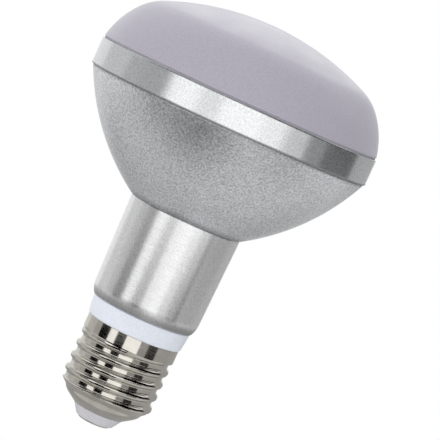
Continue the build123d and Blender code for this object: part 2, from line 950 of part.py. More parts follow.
live_route = [
    (0, 0, stem_top - stem_bore),
    (0, 0, lead_low),
    (live_hole[0], behind_board, 14.5),
    (live_hole[0], behind_board, live_hole[1]),
    (live_hole[0], through_board, live_hole[1]),
]
live_lead = round_wire(live_route, (1.8, 1.8, 1.4), wire_radius)
live_lead.part.label = "live_lead"
export_step(live_lead.part, "parts/live_lead.step")

neutral_route = [
    (shell_side, 0, notch_top - 1.0),
    (shell_side, 0, lead_low),
    (neutral_hole[0], behind_board, lead_low),
    (neutral_hole[0], behind_board, neutral_hole[1]),
    (neutral_hole[0], through_board, neutral_hole[1]),
]
neutral_lead = round_wire(neutral_route, (1.8, 1.8, 1.4), wire_radius)
neutral_lead.part.label = "neutral_lead"
export_step(neutral_lead.part, "parts/neutral_lead.step")

entry_end = connector_start + 0.7
upper_radii = (1.6, 4.0, 10.0, 14.0, 8.0, 2.0)

positive_route = [
    (output_hole[0], through_board, output_hole[1]),
    (output_hole[0], behind_board, output_hole[1]),
    (6.3, behind_board, 56.8),
    (4.4, -0.6, 64.0),
    (1.4, 1.0, 76.0),
    (0, entry_spacing / 2, 84.5),
    (0, entry_spacing / 2, entry_height),
    (entry_end, entry_spacing / 2, entry_height),
]
positive_lead = round_wire(positive_route, upper_radii, wire_radius)
positive_lead.part.label = "positive_lead"
export_step(positive_lead.part, "parts/positive_lead.step")

negative_route = [
    (-output_hole[0], through_board, output_hole[1]),
    (-output_hole[0], behind_board, output_hole[1]),
    (-6.3, behind_board, 56.8),
    (-4.2, -3.0, 64.0),
    (-1.2, -1.8, 76.0),
    (0, -entry_spacing / 2, 84.5),
    (0, -entry_spacing / 2, entry_height),
    (entry_end, -entry_spacing / 2, entry_height),
]
negative_lead = round_wire(negative_route, upper_radii, wire_radius)
negative_lead.part.label = "negative_lead"
export_step(negative_lead.part, "parts/negative_lead.step")
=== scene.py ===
from math import asin, atan2, cos, pi, radians, sin, sqrt, tan

import bmesh
import bpy
from mathutils import Matrix, Vector


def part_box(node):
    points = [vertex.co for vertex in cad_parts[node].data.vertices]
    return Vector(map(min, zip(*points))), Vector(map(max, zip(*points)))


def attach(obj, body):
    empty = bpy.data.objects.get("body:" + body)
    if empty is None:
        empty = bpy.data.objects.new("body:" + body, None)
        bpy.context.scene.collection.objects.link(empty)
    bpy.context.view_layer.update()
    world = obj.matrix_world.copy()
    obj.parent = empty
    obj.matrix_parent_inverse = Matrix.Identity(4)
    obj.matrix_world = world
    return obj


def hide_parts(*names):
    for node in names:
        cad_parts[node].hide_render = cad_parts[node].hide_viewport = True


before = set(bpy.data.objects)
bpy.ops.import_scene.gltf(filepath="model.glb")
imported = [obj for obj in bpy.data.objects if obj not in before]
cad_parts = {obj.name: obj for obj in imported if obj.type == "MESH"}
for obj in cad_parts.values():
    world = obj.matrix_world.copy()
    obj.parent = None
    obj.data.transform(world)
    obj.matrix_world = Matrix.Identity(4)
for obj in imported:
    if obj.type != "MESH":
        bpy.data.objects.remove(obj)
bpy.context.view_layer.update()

MM = 0.001
scene = bpy.context.scene


def levels(node):
    """The heights of a node's lowest and highest point and its largest radius, in millimetres."""
    low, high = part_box(node)
    return low.z / MM, high.z / MM, high.x / MM


cap_low, cap_high, rim_radius = levels("screw_shell")
neck_low, neck_high, neck_radius = levels("neck_sleeve")
bell_low, spigot_high, _ = levels("bell_housing")
band_low, band_high, band_radius = levels("rim_band")
seal_low, seal_high, seal_radius = levels("diffuser_seal")
skirt_low, dome_high, dome_radius = levels("diffuser")
_, stem_high, contact_radius = levels("centre_contact")
nose_low, nose_high, flange_radius = levels("tip_insulator")


# Node trees
class Wiring:
    """A node tree being wired up. Each call adds one node and hands back an output of it."""

    def __init__(self, tree):
        self.tree = tree

    def add(self, kind, inputs=(), output=0, **settings):
        """Adds a node, sets or links its inputs, and gives the named or numbered output."""
        node = self.tree.nodes.new(kind)
        for key, value in settings.items():
            setattr(node, key, value)
        for key, value in dict(inputs).items():
            self.feed(node.inputs[key], value)
        return node.outputs[output]

    def feed(self, socket, value):
        """Links an output to a socket, or sets the socket to a number or colour."""
        if isinstance(value, bpy.types.NodeSocket):
            self.tree.links.new(value, socket)
        else:
            socket.default_value = value

    def math(self, operation, *values):
        """One sum, product or other step on numbers."""
        return self.add("ShaderNodeMath", enumerate(values), operation=operation)

    def spread(self, value, low, high, from_low=0.3, from_high=0.7):
        """Stretches the middle of a noise to the range low to high."""
        inputs = {"Value": value, "From Min": from_low, "From Max": from_high, "To Min": low, "To Max": high}
        return self.add("ShaderNodeMapRange", inputs)


class Finish(Wiring):
    """A material in the making: a shader, the object's own coordinates, and the layers put on it."""

    def __init__(self, name, colour, roughness, metallic=0.0, **constants):
        self.material = bpy.data.materials.new(name)
        self.material.use_nodes = True
        super().__init__(self.material.node_tree)
        self.shader = self.tree.nodes["Principled BSDF"]
        self.colour = (*colour, 1)
        self.place = self.add("ShaderNodeTexCoord", output="Object")
        self.height = None
        self.shader.inputs["Base Color"].default_value = self.colour
        self.shader.inputs["Roughness"].default_value = roughness
        self.shader.inputs["Metallic"].default_value = metallic
        for socket, value in constants.items():
            self.shader.inputs[socket.replace("_", " ")].default_value = value

    def speckle(self, size, stretch=(1, 1, 1), detail=2.0):
        """A noise whose grains are about that many millimetres, longer where stretch is under 1."""
        place = self.add("ShaderNodeMapping", {"Vector": self.place, "Scale": stretch})
        return self.add("ShaderNodeTexNoise", {"Vector": place, "Scale": 1 / (size * MM), "Detail": detail})

    def painted_joint_shade(self, factor, edge, reach, depth):
        """Darkens a factor towards the height where the piece meets its neighbour, in millimetres: painted
        shade, a shadow line along the seam.
        """
        height = self.add("ShaderNodeSeparateXYZ", {0: self.place}, output="Z")
        away = self.math("ABSOLUTE", self.math("SUBTRACT", height, edge * MM))
        return self.math("MULTIPLY", factor, self.spread(away, depth, 1, 0.2 * reach * MM, reach * MM))

    def shade(self, factor):
        """Lightens and darkens the colour by a factor about 1."""
        colour = self.add("ShaderNodeHueSaturation", {"Color": self.colour, "Value": factor})
        self.feed(self.shader.inputs["Base Color"], colour)

    def shade_between(self, other, factor):
        """Drifts from the colour to another one."""
        node = self.tree.nodes.new("ShaderNodeMix")
        node.data_type = "RGBA"
        first_colour, second_colour, mixed_colour = 6, 7, 2
        self.feed(node.inputs["Factor"], factor)
        self.feed(node.inputs[first_colour], self.colour)
        self.feed(node.inputs[second_colour], (*other, 1))
        self.colour = node.outputs[mixed_colour]
        self.feed(self.shader.inputs["Base Color"], self.colour)

    def blend(self, first, second, share):
        """Adds two noises, the first with that share and the second with the rest."""
        rest = self.math("MULTIPLY", second, 1 - share)
        return self.math("ADD", self.math("MULTIPLY", first, share), rest)

    def polish(self, noise, low, high):
        """Makes the surface duller and glossier in patches."""
        self.feed(self.shader.inputs["Roughness"], self.spread(noise, low, high))

    def relief(self, noise, depth):
        """Raises the surface by a noise, that many millimetres deep."""
        inputs = {"Height": noise, "Distance": depth * MM, "Strength": 1.0}
        if self.height:
            inputs["Normal"] = self.height
        self.height = self.add("ShaderNodeBump", inputs)
        self.feed(self.shader.inputs["Normal"], self.height)


def nickel_plate():
    """Bright nickel on rolled brass: fine lines along the rolling, duller patches from handling."""
    finish = Finish("nickel_plate", (0.675, 0.645, 0.59), 0.12, 1.0)
    rolling = finish.speckle(0.35, (0.12, 0.12, 1), 3)
    patches = finish.speckle(3.0, detail=4)
    finish.shade(finish.spread(patches, 0.9, 1.06))
    finish.polish(finish.blend(rolling, patches, 0.5), 0.07, 0.15)
    finish.relief(rolling, 0.003)
    return finish.material


def moulded_plastic(name, colour, roughness, grain, mottle):
    """Moulded plastic: faint clouds in the colour and the fine texture of the mould.
    The grain is in millimetres, and the mottle is how far the shade drifts."""
    finish = Finish(name, colour, roughness)
    clouds = finish.speckle(6.0)
    texture = finish.speckle(grain, detail=3)
    finish.shade(finish.spread(finish.blend(clouds, texture, 0.35), 1 - mottle, 1 + mottle))
    finish.polish(clouds, roughness - 0.05, roughness + 0.08)
    finish.relief(texture, 0.008)
    return finish.material


def turned_aluminium(name, colour, low, high, foot, foot_reach):
    """Turned and polished aluminium: fine rings round the axis that draw each reflection out along it.
    Its roughness lies between low and high. From the height foot up to about foot_reach above it, in
    millimetres, the polish has missed it, so it is rougher there, and its colour is darkened as painted
    shade."""
    finish = Finish(name, colour, low, 1.0, Anisotropic=0.75, Anisotropic_Rotation=0.25)
    rings = finish.speckle(0.22, (0.04, 0.04, 1), 3)
    speckle = finish.speckle(0.45, detail=3)
    # painted shade: the colour darkens towards the foot
    finish.shade(finish.painted_joint_shade(finish.spread(speckle, 0.84, 1.12), foot, foot_reach, 0.66))
    polished = finish.spread(finish.blend(rings, speckle, 0.6), low, high)
    height = finish.add("ShaderNodeSeparateXYZ", {0: finish.place}, output="Z")
    dull_roughness, dull_low, dull_high = 0.62, foot + 0.6 * foot_reach, foot + 1.2 * foot_reach
    dull = finish.spread(height, dull_roughness, low, dull_low * MM, dull_high * MM)
    finish.feed(finish.shader.inputs["Roughness"], finish.math("MAXIMUM", polished, dull))
    finish.relief(rings, 0.003)
    return finish.material


def blasted_aluminium():
    """Cast aluminium, blasted to an even grain: small pits that glint and shade, and painted shade that
    darkens it towards the neck and the band.
    """
    finish = Finish("blasted_aluminium", (0.80, 0.815, 0.835), 0.42, 1.0)
    grain = finish.speckle(0.48, detail=3)
    clouds = finish.speckle(9.0)
    # painted shade: the colour darkens towards the neck and towards the band, as shadow lines at the seams
    pits = finish.painted_joint_shade(finish.spread(grain, 0.62, 1.34), bell_low, 1.6, 0.62)
    finish.shade(finish.painted_joint_shade(pits, band_low, 0.9, 0.62))
    finish.polish(finish.blend(grain, clouds, 0.7), 0.36, 0.5)
    finish.relief(grain, 0.036)
    return finish.material


def frosted_plastic():
    """The dome: milky plastic with a lilac cast and a frosted skin."""
    skin = {"Specular_IOR_Level": 0.35, "Sheen_Weight": 0.4, "Sheen_Roughness": 0.4}
    finish = Finish("frosted_plastic", (0.44, 0.43, 0.49), 0.45, **skin)
    frost = finish.speckle(0.5, detail=4)
    clouds = finish.speckle(14.0)
    finish.shade_between((0.465, 0.425, 0.485), finish.spread(frost, 0, 1))
    finish.shade(finish.spread(finish.speckle(0.35, detail=3), 0.9, 1.1))
    finish.polish(clouds, 0.36, 0.48)
    finish.relief(frost, 0.012)
    return finish.material


def cut_metal(name, colour, low, high):
    """Plain sheet, bar or plated metal with fine tool lines."""
    finish = Finish(name, colour, low, 1.0)
    strokes = finish.speckle(0.3, (1, 0.08, 1), 3)
    finish.shade(finish.spread(strokes, 0.92, 1.05))
    finish.polish(strokes, low, high)
    finish.relief(strokes, 0.006)
    return finish.material


def wound_copper():
    """Enamelled copper wire, wound in close turns."""
    finish = Finish("wound_copper", (0.62, 0.26, 0.10), 0.28, 1.0)
    turns = finish.add("ShaderNodeTexWave", {"Vector": finish.place, "Scale": 640.0, "Distortion": 0.4},
                       output="Fac", bands_direction="DIAGONAL")
    finish.shade(finish.spread(turns, 0.6, 1.05, 0.0, 1.0))
    finish.polish(finish.speckle(1.2), 0.22, 0.36)
    finish.relief(turns, 0.08)
    return finish.material


def pressed_powder():
    """Sintered ferrite: dark, matt and slightly pitted."""
    finish = Finish("pressed_powder", (0.035, 0.035, 0.04), 0.7)
    pits = finish.speckle(0.25, detail=4)
    finish.shade(finish.spread(pits, 0.75, 1.3))
    finish.polish(pits, 0.6, 0.8)
    finish.relief(pits, 0.02)
    return finish.material


def printed_board(name, colour):
    """A circuit board under its mask: the weave of the cloth shows faintly through."""
    finish = Finish(name, colour, 0.4)
    warp = finish.add("ShaderNodeTexWave", {"Vector": finish.place, "Scale": 420.0, "Distortion": 0.5},
                      output="Fac", bands_direction="X")
    weft = finish.add("ShaderNodeTexWave", {"Vector": finish.place, "Scale": 420.0, "Distortion": 0.5},
                      output="Fac", bands_direction="Z")
    cloth = finish.math("MULTIPLY", warp, weft)
    finish.shade(finish.spread(cloth, 0.9, 1.1, 0.0, 1.0))
    finish.polish(finish.speckle(2.0), 0.32, 0.46)
    finish.relief(cloth, 0.006)
    return finish.material


def phosphor():
    """The yellow cap of an LED: a grainy cast gel."""
    finish = Finish("phosphor", (0.85, 0.62, 0.12), 0.5)
    grains = finish.speckle(0.12, detail=3)
    finish.shade(finish.spread(grains, 0.88, 1.1))
    finish.polish(grains, 0.42, 0.58)
    finish.relief(grains, 0.01)
    return finish.material


# Outlines of the turned pieces: points of radius and height, in millimetres
def along_arc(centre, radius, start, end, steps):
    """Points along an arc from one angle to another, in degrees from the radius direction."""
    angles = [radians(start + (end - start) * step / steps) for step in range(steps + 1)]
    return [(centre[0] + radius * cos(angle), centre[1] + radius * sin(angle)) for angle in angles]


def rounded(corners, radius, steps=4):
    """The closed outline through the corners, each corner rounded and held by a point on each side."""
    outline = []
    count = len(corners)
    for index in range(count):
        before = Vector(corners[index - 1])
        here = Vector(corners[index])
        after = Vector(corners[(index + 1) % count])
        to_before = before - here
        to_after = after - here
        reach = min(radius, 0.35 * to_before.length, 0.35 * to_after.length)
        first = here + to_before.normalized() * reach
        last = here + to_after.normalized() * reach
        outline.append(tuple(first + to_before.normalized() * reach * 0.3))
        for step in range(steps + 1):
            share = step / steps
            outline.append(tuple(first.lerp(here, share).lerp(here.lerp(last, share), share)))
        outline.append(tuple(last + to_after.normalized() * reach * 0.3))
    return outline


def turned(name, outline, segments=256):
    """The closed body of a closed outline turned round the Z axis."""
    mesh = bpy.data.meshes.new(name)
    build = bmesh.new()
    rings = []
    for radius, height in outline:
        if radius < 1e-6:
            rings.append([build.verts.new((0, 0, height * MM))] * segments)
            continue
        angles = [2 * pi * segment / segments for segment in range(segments)]
        rings.append(
            [build.verts.new((radius * MM * cos(a), radius * MM * sin(a), height * MM)) for a in angles]
        )
    closed = rings[0][0].co.xy.length > 0
    for index in range(len(rings) if closed else len(rings) - 1):
        here = rings[index]
        there = rings[(index + 1) % len(rings)]
        for segment in range(segments):
            following = (segment + 1) % segments
            loop = [here[segment], here[following], there[following], there[segment]]
            corners = list(dict.fromkeys(loop))
            if len(corners) > 2:
                build.faces.new(corners)
    bmesh.ops.recalc_face_normals(build, faces=build.faces)
    for face in build.faces:
        face.smooth = True
    build.to_mesh(mesh)
    build.free()
    piece = bpy.data.objects.new(name, mesh)
    scene.collection.objects.link(piece)
    return piece


def fit(piece, node, material):
    """Puts a finished piece in a node's place on the bulb."""
    piece.data.materials.clear()
    piece.data.materials.append(material)
    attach(piece, "root")
    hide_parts(node)


# Neck: a slim cone whose foot curves in to the collar
neck_foot = 14.35
neck_round = 15.28
neck_round_height = 3.4
neck_edge_width = 0.2
neck_edge_height = 0.25
neck_hold_width = 0.02
neck_hold_height = 0.4
sleeve_bore = 12.9
sleeve_flange = 58.1
sleeve_opening = 8.0


def neck_outline():
    """The sleeve's section, from the foot up the outside, over the broken top edge and down the bore."""
    slope = Vector((neck_radius - neck_round, neck_high - neck_low - neck_round_height)).normalized()
    inward = Vector((-slope.y, slope.x))
    drop = Vector((neck_foot - neck_round, -neck_round_height))
    radius = drop.dot(drop) / (2 * drop.dot(inward))
    centre = Vector((neck_round, neck_low + neck_round_height)) + inward * radius
    foot = Vector((neck_foot, neck_low)) - centre
    head = -inward * radius
    from_angle = atan2(foot.y, foot.x)
    to_angle = atan2(head.y, head.x)
    curve = along_arc(centre, radius, from_angle * 180 / pi, to_angle * 180 / pi, steps=12)
    hold = (neck_radius - neck_hold_width, neck_high - neck_hold_height)
    side = [curve[-1], hold, (neck_radius, neck_high - neck_edge_height)]
    top = [(neck_radius - neck_edge_width, neck_high), (sleeve_opening, neck_high)]
    bore = [(sleeve_opening, sleeve_flange), (sleeve_bore, sleeve_flange), (sleeve_bore, neck_low)]
    return curve[:-1] + side + top + bore


# Bell: one arc from the neck to the band, with the ledge and the rim spigot inside
bell_foot = 16.1
bell_top = 39.6
bell_arc = 62.5
bell_wall = 1.6
bell_floor = 1.8
bell_opening = 8.4
bell_foot_edge = 0.15
bell_top_edge = 0.25
bell_top_width = 0.3
bell_top_point = (0.1, 0.05)
ledge_bore = 33.8
ledge_low = 82.2
ledge_high = 84.2
seat_bore = 36.0
seat_high = 86.8
spigot_inner = 37.3
spigot_outer = 38.5


def bell_outline():
    """The bell's section, up the outside arc, over the spigot and down the inside."""
    low = Vector((bell_foot, bell_low))
    high = Vector((bell_top, band_low))
    chord = high - low
    inward = Vector((-chord.y, chord.x)).normalized()
    centre = (low + high) / 2 + inward * sqrt(bell_arc**2 - (chord.length / 2) ** 2)

    def angle(height, radius):
        return -asin((centre.y - height) / radius) * 180 / pi

    outer_start = angle(bell_low + bell_foot_edge, bell_arc)
    outer_end = angle(band_low - bell_top_edge, bell_arc)
    outside = along_arc(centre, bell_arc, outer_start, outer_end, steps=72)
    inner_arc = bell_arc - bell_wall
    inner_start = angle(ledge_low, inner_arc)
    inner_end = angle(bell_low + bell_floor, inner_arc)
    inside = along_arc(centre, inner_arc, inner_start, inner_end, steps=40)
    foot = [(bell_foot - bell_foot_edge, bell_low)]
    rim_point = (bell_top - bell_top_point[0], band_low - bell_top_point[1])
    rim = [rim_point, (bell_top - bell_top_width, band_low)]
    spigot = [(spigot_outer, band_low), (spigot_outer, spigot_high), (spigot_inner, spigot_high)]
    slope_high = seat_high + spigot_inner - seat_bore
    seat = [(spigot_inner, slope_high), (seat_bore, seat_high), (seat_bore, ledge_high)]
    ledge = [(ledge_bore, ledge_high), (ledge_bore, ledge_low)]
    floor = [(bell_opening, bell_low + bell_floor), (bell_opening, bell_low)]
    return foot + outside + rim + spigot + seat + ledge + inside + floor


# Dome: a low crown, a shoulder and a steep side, each tangent to the next, and the skirt inside the bell
crown_radius = 74.2
shoulder_radius = 14.4
side_radius = 24.0
crown_end = 66.8
shoulder_end = 39.9
dome_wall = 1.6
skirt_outer = 37.2
skirt_inner = 35.7
step_high = 98.1
dome_edge = 0.3
dome_edge_point = (0.06, 0.1)


def slant(angle):
    """The direction at an angle in degrees above the level."""
    return Vector((cos(radians(angle)), sin(radians(angle))))


def dome_curve(foot_height, wall):
    """The dome's curve from the foot up to the axis, that far inside the wall."""
    crown_centre = Vector((0, dome_high - crown_radius))
    shoulder_centre = crown_centre + slant(crown_end) * (crown_radius - shoulder_radius)
    side_centre = shoulder_centre + slant(shoulder_end) * (shoulder_radius - side_radius)
    foot_angle = asin((foot_height - side_centre.y) / (side_radius - wall)) * 180 / pi
    side = along_arc(side_centre, side_radius - wall, foot_angle, shoulder_end, steps=24)
    shoulder = along_arc(shoulder_centre, shoulder_radius - wall, shoulder_end, crown_end, steps=20)
    crown = along_arc(crown_centre, crown_radius - wall, crown_end, 90, steps=32)
    return side[:-1] + shoulder[:-1] + crown[:-1] + [(0, dome_high - wall)]


def dome_outline():
    """The dome's section: down the inside from the axis, round the skirt and foot, and up the outside."""
    outside = dome_curve(seal_high + dome_edge, 0)
    inside = dome_curve(step_high, dome_wall)
    edge = (dome_radius - dome_edge_point[0], seal_high + dome_edge_point[1])
    foot = [(skirt_outer, seal_high), (dome_radius - dome_edge, seal_high), edge]
    skirt = [(skirt_inner, step_high), (skirt_inner, skirt_low), (skirt_outer, skirt_low)]
    return [*inside[::-1], *skirt, *foot, *outside]


# Band and seal
band_bore = spigot_outer + 0.05
band_rounding = 0.3
seal_bore = 38.7
seal_rounding = 0.08


def ring_outline(bore, radius, low, high, rounding):
    """The section of a plain ring whose edges are rounded."""
    return rounded([(bore, low), (radius, low), (radius, high), (bore, high)], rounding)


# Nose and contact
nose_foot = 5.25
nose_seat = 1.3
nose_throat = 4.8
nose_rounding = 0.25
stem_radius = 1.5
stem_bore = stem_radius + 0.05
lip_radius = 7.25
lip_gap = 0.1
floor_gap = 0.03
contact_flat = 3.9
floor_slope = radians(34.5)
cap_sheet = 0.35


def nose_outline():
    """The insulator's section: the cone outside the cap and the flange inside it."""
    inner_floor = cap_low + cap_sheet / cos(floor_slope) + floor_gap
    corners = [
        (stem_bore, nose_seat),
        (nose_throat, nose_seat),
        (nose_throat, nose_low),
        (nose_foot, nose_low),
        (lip_radius - lip_gap, cap_low),
        (lip_radius - lip_gap, inner_floor),
        (flange_radius, inner_floor + (flange_radius - lip_radius) * tan(floor_slope)),
        (flange_radius, nose_high),
        (stem_bore, nose_high),
    ]
    return rounded(corners, nose_rounding)


def contact_outline():
    """The contact's section: a button with a rounded edge, and its stem."""
    edge_steps = 10
    edge_width = contact_radius - contact_flat
    angles = [pi / 2 * step / edge_steps for step in range(edge_steps + 1)]
    edge = [(contact_flat + edge_width * sin(angle), nose_low * (1 - cos(angle))) for angle in angles]
    stem = [(contact_radius, nose_seat), (stem_radius, nose_seat), (stem_radius, stem_high), (0, stem_high)]
    return [(0, 0), (contact_flat * 0.7, 0)] + edge + stem


# Screw shell: the rolled thread follows one helix, so its mesh is worked out by a node tree
thread_pitch = 25.4 / 7
thread_crest = 13.15
thread_core = 12.25
thread_arc = 1.025
first_crest = 5.75
rim_start = 23.4
rim_step = 1.0
shoulder = (11.25, 7.0)
shoulder_slope = 0.473
flare_slope = 1.175
root_blend = 0.06
rim_blend = 0.25
edge_blend = 0.2
floor_blend = 1.35
flare_blend = 0.3
weld_reach = 0.002
row_guard = 0.001


def thread_tree(material):
    """A node tree that bends a grid round the axis into the rolled sheet of the screw shell."""
    tree = bpy.data.node_groups.new("rolled_thread", "GeometryNodeTree")
    sizes = {
        "Pitch": thread_pitch * MM,
        "Crest centre": (thread_crest - thread_arc) * MM,
        "Arc": thread_arc * MM,
        "Core": thread_core * MM,
        "First crest": first_crest * MM,
        "Rim radius": rim_radius * MM,
        "Rim start": rim_start * MM,
        "Rim step": rim_step * MM,
        "Lip radius": lip_radius * MM,
        "Low": cap_low * MM,
        "High": cap_high * MM,
        "Sheet": cap_sheet * MM,
        "Shoulder radius": shoulder[0] * MM,
        "Shoulder height": shoulder[1] * MM,
    }
    counts = {"Columns": 256, "Outer rows": 170, "Inner rows": 60}
    for name in sizes:
        tree.interface.new_socket(name, in_out="INPUT", socket_type="NodeSocketFloat")
    for name in counts:
        tree.interface.new_socket(name, in_out="INPUT", socket_type="NodeSocketInt")
    tree.interface.new_socket("Geometry", in_out="OUTPUT", socket_type="NodeSocketGeometry")
    wires = Wiring(tree)
    given = tree.nodes.new("NodeGroupInput").outputs
    math = wires.math

    # the grid: one column for each step round the axis, one row for each step round the sheet
    rows = math("ADD", given["Outer rows"], given["Inner rows"])
    inputs = {
        "Size X": 1.0,
        "Size Y": 1.0,
        "Vertices X": math("ADD", given["Columns"], 1),
        "Vertices Y": math("ADD", rows, 1),
    }
    grid = wires.add("GeometryNodeMeshGrid", inputs)
    place = wires.add("ShaderNodeSeparateXYZ", {0: wires.add("GeometryNodeInputPosition")})
    spot = place.node.outputs
    angle = math("MULTIPLY", math("ADD", spot["X"], 0.5), 2 * pi)
    row = math("ROUND", math("MULTIPLY", math("ADD", spot["Y"], 0.5), rows))

    # outside going up, inside coming down, and the last row on the first
    wrapped = math("MODULO", math("ADD", row, row_guard), rows)
    is_inner = math("GREATER_THAN", wrapped, math("SUBTRACT", given["Outer rows"], 0.5))
    up = math("DIVIDE", wrapped, math("SUBTRACT", given["Outer rows"], 1))
    down_row = math("SUBTRACT", wrapped, given["Outer rows"])
    down = math("SUBTRACT", 1, math("DIVIDE", down_row, math("SUBTRACT", given["Inner rows"], 1)))
    share = math("ADD", up, math("MULTIPLY", is_inner, math("SUBTRACT", down, up)))
    share = math("MINIMUM", math("MAXIMUM", share, 0), 1)
    inset = math("MULTIPLY", is_inner, given["Sheet"])
    low = math("ADD", given["Low"], math("DIVIDE", inset, cos(floor_slope)))
    height = math("ADD", low, math("MULTIPLY", share, math("SUBTRACT", given["High"], low)))

    # the thread: equal arcs for crest and root, wound to the right
    turn = math("SUBTRACT", math("DIVIDE", math("SUBTRACT", height, given["First crest"]), given["Pitch"]),
                math("DIVIDE", angle, 2 * pi))
    phase = math("SUBTRACT", math("FRACT", math("ADD", turn, 0.5)), 0.5)
    from_crest = math("ABSOLUTE", math("MULTIPLY", phase, given["Pitch"]))
    half_pitch = math("DIVIDE", given["Pitch"], 2)
    from_root = math("SUBTRACT", half_pitch, from_crest)
    crest_arc = math("SUBTRACT", given["Arc"], inset)
    root_arc = math("ADD", given["Arc"], inset)

    def rise(radius, offset):
        """How far an arc stands from its centre at that offset along the axis."""
        square = math("SUBTRACT", math("MULTIPLY", radius, radius), math("MULTIPLY", offset, offset))
        return math("SQRT", math("MAXIMUM", square, 0))

    centre_gap = rise(math("MULTIPLY", given["Arc"], 2), half_pitch)
    crest = math("ADD", given["Crest centre"], rise(crest_arc, from_crest))
    root = math("SUBTRACT", math("ADD", given["Crest centre"], centre_gap), rise(root_arc, from_root))
    meet = math("DIVIDE", math("MULTIPLY", half_pitch, crest_arc), math("MULTIPLY", given["Arc"], 2))
    on_crest = math("LESS_THAN", from_crest, meet)
    wave = math("ADD", root, math("MULTIPLY", on_crest, math("SUBTRACT", crest, root)))
    core = math("SUBTRACT", given["Core"], inset)
    thread = math("SMOOTH_MAX", wave, core, root_blend * MM)

    # the plain rim above it and the rounded shoulder below it
    rim_share = wires.add(
        "ShaderNodeMapRange",
        {
            "Value": math("SUBTRACT", height, math("DIVIDE", inset, 2)),
            "From Min": math("SUBTRACT", given["Rim start"], given["Rim step"]),
            "From Max": given["Rim start"],
        },
        interpolation_type="SMOOTHSTEP",
    )
    rim_height = math("SUBTRACT", given["Rim radius"], given["Core"])
    rim = math("ADD", core, math("MULTIPLY", rim_share, rim_height))
    rim_wall = math("SUBTRACT", given["Rim radius"], inset)
    wall = math("MINIMUM", math("SMOOTH_MAX", thread, rim, rim_blend * MM), rim_wall)
    floor_reach = math("DIVIDE", math("SUBTRACT", height, low), tan(floor_slope))
    floor = math("ADD", given["Lip radius"], floor_reach)

    def cone(slope):
        """A cone through the shoulder's edge that widens by that much for each step up."""
        reach = math("MULTIPLY", math("SUBTRACT", height, given["Shoulder height"]), slope)
        drawn_in = math("MULTIPLY", inset, sqrt(1 + slope**2))
        return math("SUBTRACT", math("ADD", given["Shoulder radius"], reach), drawn_in)

    rounded_floor = math("SMOOTH_MIN", floor, cone(shoulder_slope), floor_blend * MM)
    envelope = math("SMOOTH_MAX", rounded_floor, cone(flare_slope), flare_blend * MM)
    radius = math("SMOOTH_MIN", wall, envelope, edge_blend * MM)

    # the grid bent to those radii and closed along its two seams
    across = math("MULTIPLY", radius, math("COSINE", angle))
    back = math("MULTIPLY", radius, math("SINE", angle))
    target = wires.add("ShaderNodeCombineXYZ", {0: across, 1: back, 2: height})
    bent = wires.add("GeometryNodeSetPosition", {"Geometry": grid, "Position": target})
    closed = wires.add("GeometryNodeMergeByDistance", {"Geometry": bent, "Distance": weld_reach * MM})
    smooth = wires.add("GeometryNodeSetShadeSmooth", {"Geometry": closed})
    whole = wires.add("GeometryNodeRealizeInstances", {"Geometry": smooth})
    dressed = wires.add("GeometryNodeSetMaterial", {"Geometry": whole, "Material": material})
    tree.links.new(dressed, tree.nodes.new("NodeGroupOutput").inputs["Geometry"])
    return tree, {**sizes, **counts}


def rolled_cap(material):
    """The screw shell as a plain mesh, from the thread's node tree."""
    tree, values = thread_tree(material)
    holder = bpy.data.objects.new("cap_holder", bpy.data.meshes.new("cap_holder"))
    scene.collection.objects.link(holder)
    modifier = holder.modifiers.new("thread", "NODES")
    modifier.node_group = tree
    for item in tree.interface.items_tree:
        if item.in_out == "INPUT":
            modifier[item.identifier] = values[item.name]
    bpy.context.view_layer.update()
    mesh = bpy.data.meshes.new_from_object(holder.evaluated_get(bpy.context.evaluated_depsgraph_get()))
    bpy.data.objects.remove(holder)
    build = bmesh.new()
    build.from_mesh(mesh)
    bmesh.ops.recalc_face_normals(build, faces=build.faces)
    build.to_mesh(mesh)
    build.free()
    mesh.name = "rolled_screw_shell"
    piece = bpy.data.objects.new("rolled_screw_shell", mesh)
    scene.collection.objects.link(piece)
    return piece


# The pieces that show
nickel = nickel_plate()
fit(rolled_cap(nickel), "screw_shell", nickel)
fit(turned("nickel_contact", contact_outline(), segments=128), "centre_contact", nickel)
nose_plastic = moulded_plastic("nose_plastic", (0.60, 0.59, 0.62), roughness=0.4, grain=0.4, mottle=0.06)
fit(turned("moulded_nose", nose_outline(), segments=160), "tip_insulator", nose_plastic)
# the neck's colour darkens towards its foot as painted shade
neck_metal = turned_aluminium("polished_neck", (0.95, 0.95, 0.96), 0.25, 0.33, foot=neck_low, foot_reach=2.4)
fit(turned("turned_neck", neck_outline()), "neck_sleeve", neck_metal)
fit(turned("cast_bell", bell_outline()), "bell_housing", blasted_aluminium())
band_ring = ring_outline(band_bore, band_radius, band_low, band_high, band_rounding)
# the band's colour darkens towards its lower edge as painted shade, a shadow line at the seam with the bell
band_metal = turned_aluminium("bright_band", (0.80, 0.815, 0.825), 0.2, 0.27, foot=band_low, foot_reach=0.5)
fit(turned("bright_band", band_ring), "rim_band", band_metal)
seal_ring = ring_outline(seal_bore, seal_radius, seal_low, seal_high, seal_rounding)
seal_rubber = moulded_plastic("seal_rubber", (0.44, 0.43, 0.48), roughness=0.75, grain=0.3, mottle=0.2)
fit(turned("silicone_seal", seal_ring), "diffuser_seal", seal_rubber)
fit(turned("frosted_dome", dome_outline()), "diffuser", frosted_plastic())

